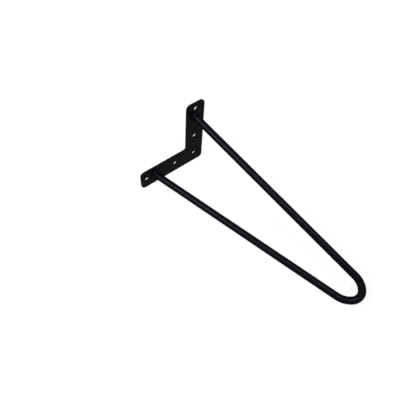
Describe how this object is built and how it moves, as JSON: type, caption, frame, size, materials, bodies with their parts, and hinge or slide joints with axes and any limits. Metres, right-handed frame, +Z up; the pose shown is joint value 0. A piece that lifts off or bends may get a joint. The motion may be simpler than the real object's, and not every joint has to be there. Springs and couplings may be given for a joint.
{
  "type": "hairpin table leg",
  "caption": "Hairpin table leg: a round steel bar bent into a narrow V and welded at both ends to an L-shaped screw plate, finished in satin black powder coat.",
  "frame": {"origin": "centre of the bounding box, on the floor that the leg lies on", "axes": "+X from the mounting plate to the foot, +Z up, as the leg rests on the edge of one arm and on its bend; the other arm stands up and the lying arm points to -Y"},
  "size_m": [0.3124, 0.1288, 0.1084],
  "materials": {
    "black_powder_coat": "satin black powder coat"
  },
  "bodies": {
    "root": {"mounting_plate": "black_powder_coat", "hairpin_rod": "black_powder_coat", "weld_bead_upper": "black_powder_coat", "weld_bead_lower": "black_powder_coat"}
  },
  "joints": []
}
